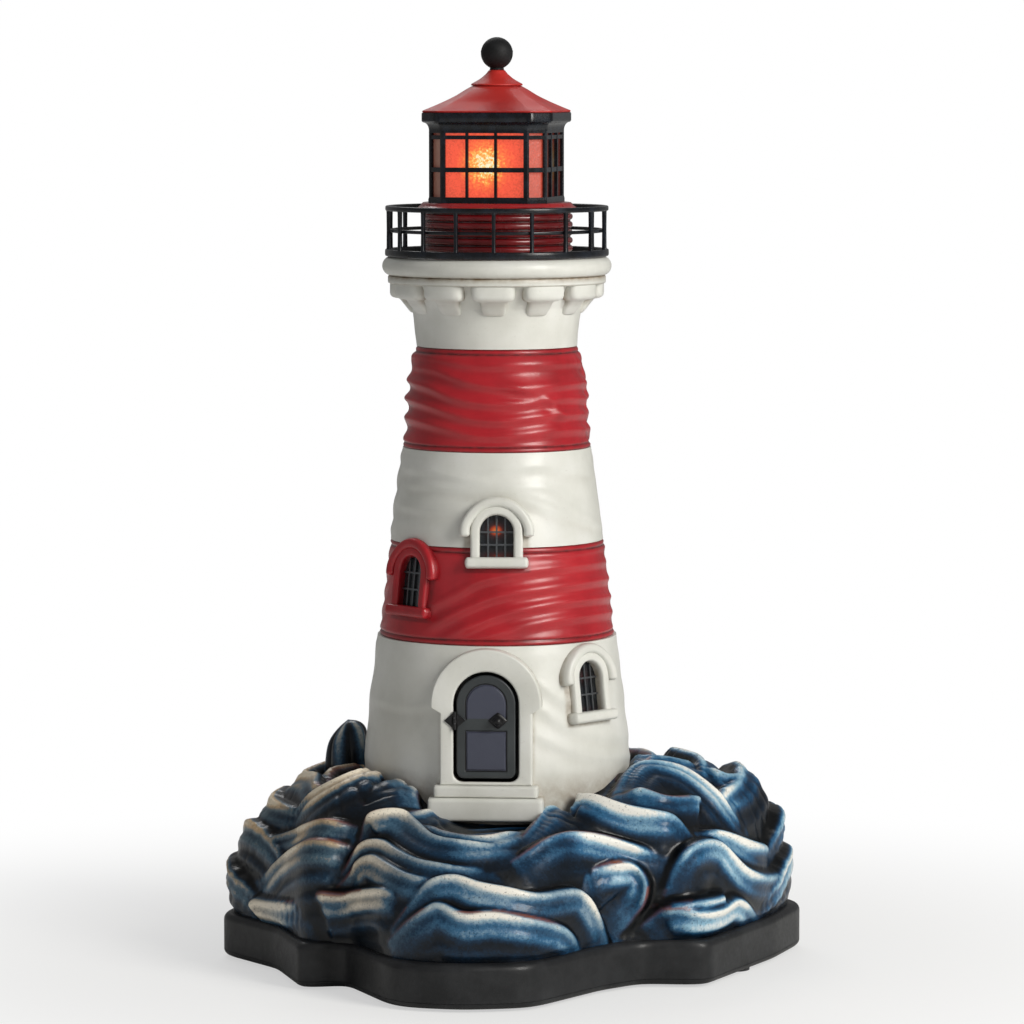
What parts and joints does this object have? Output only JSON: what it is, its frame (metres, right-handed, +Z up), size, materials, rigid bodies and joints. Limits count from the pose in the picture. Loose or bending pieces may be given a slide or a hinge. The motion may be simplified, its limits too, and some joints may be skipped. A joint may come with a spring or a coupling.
{
  "type": "garden lighthouse ornament",
  "caption": "Lit lighthouse ornament on wave-shaped rocks: banded tower, hinged door, railed gallery, glazed lantern with lift-off roof, battery base.",
  "frame": {"origin": "middle of the base's box, on the surface that the rubber feet stand on", "axes": "+Z up along the tower, -Y out of the door towards the front, +X to the right seen from the front"},
  "size_m": [0.2284, 0.2328, 0.36],
  "materials": {
    "plinth_resin": "satin black paint on cast resin",
    "rock_paint": "blue, navy and cream paint under clear gloss",
    "tower_white": "warm white satin paint on cast resin",
    "tower_red": "red satin paint on cast resin",
    "drum_red": "deep red gloss paint",
    "roof_red": "red satin paint",
    "rail_black": "black satin paint",
    "frame_black": "black satin paint",
    "pane_glass": "hammered, frosted, tinted orange-red",
    "window_glass": "dark, clear",
    "glazing_bar": "silver-grey",
    "door_grey": "slate grey paint",
    "hinge_black": "black",
    "steel": "zinc plated",
    "brass": "plain",
    "black_abs": "moulded",
    "bulb_glass": "clear",
    "filament": "glowing",
    "cell_wrap": "printed sleeve, plain",
    "rubber_grey": "matt",
    "lead_grey": "smooth"
  },
  "bodies": {
    "root": {"band_red_lower": "tower_red", "band_red_upper": "tower_red", "band_white": "tower_white", "base_plinth": "plinth_resin", "battery_box": "black_abs", "battery_cells": "cell_wrap", "battery_contacts": "brass", "battery_springs": "steel", "bottom_cover": "black_abs", "bottom_cover_screws": "steel", "bulb_cap": "brass", "bulb_filament": "filament", "bulb_glass": "bulb_glass", "corbels": "tower_white", "door_frame": "tower_white", "door_sill": "tower_white", "door_step": "tower_white", "gallery_deck": "tower_white", "hinge_leaf_frame": "hinge_black", "hinge_pin": "steel", "lamp_holder": "black_abs", "lamp_lead": "lead_grey", "lamp_plate": "steel", "lantern_bars": "frame_black", "lantern_drum": "drum_red", "lantern_flare": "drum_red", "lantern_head": "frame_black", "lantern_panes": "pane_glass", "lantern_posts": "frame_black", "lantern_sill": "frame_black", "mound_screws": "steel", "railing_base_ring": "rail_black", "railing_mid_rail": "rail_black", "railing_posts": "rail_black", "railing_top_rail": "rail_black", "rock_mound": "rock_paint", "rubber_feet": "rubber_grey", "switch_body": "black_abs", "tall_rock": "rock_paint", "tie_nuts": "steel", "tie_plate": "steel", "tie_tube": "steel", "tower_foot": "tower_white", "tower_neck": "tower_white", "window_bars": "glazing_bar", "window_frame_front": "tower_white", "window_frame_left": "tower_red", "window_frame_right": "tower_white", "window_panes": "window_glass"},
    "roof": {"lantern_cornice": "frame_black", "roof_shell": "roof_red", "roof_cap": "roof_red", "finial_ball": "rail_black", "finial_stud": "steel"},
    "door": {"door_leaf": "door_grey", "hinge_leaf_door": "hinge_black", "knob_plate": "hinge_black", "door_knob": "hinge_black"},
    "battery_door": {"battery_cover": "black_abs"},
    "switch_knob": {"switch_slider": "lead_grey"}
  },
  "joints": [
    {"name": "roof_lift", "type": "slide", "parent": "root", "child": "roof", "axis": [0, 0, 1], "range_m": [0, 0.04]},
    {"name": "door_swing", "type": "hinge", "parent": "root", "child": "door", "pos_m": [-0.02249, -0.05193, 0.1005], "axis": [0, 0, -1], "range_deg": [0, 100]},
    {"name": "battery_cover_hinge", "type": "hinge", "parent": "root", "child": "battery_door", "pos_m": [0, -0.0217, 0.0022], "axis": [-1, 0, 0], "range_deg": [0, 100]},
    {"name": "switch_travel", "type": "slide", "parent": "root", "child": "switch_knob", "axis": [0, 1, 0], "range_m": [0, 0.003]}
  ]
}
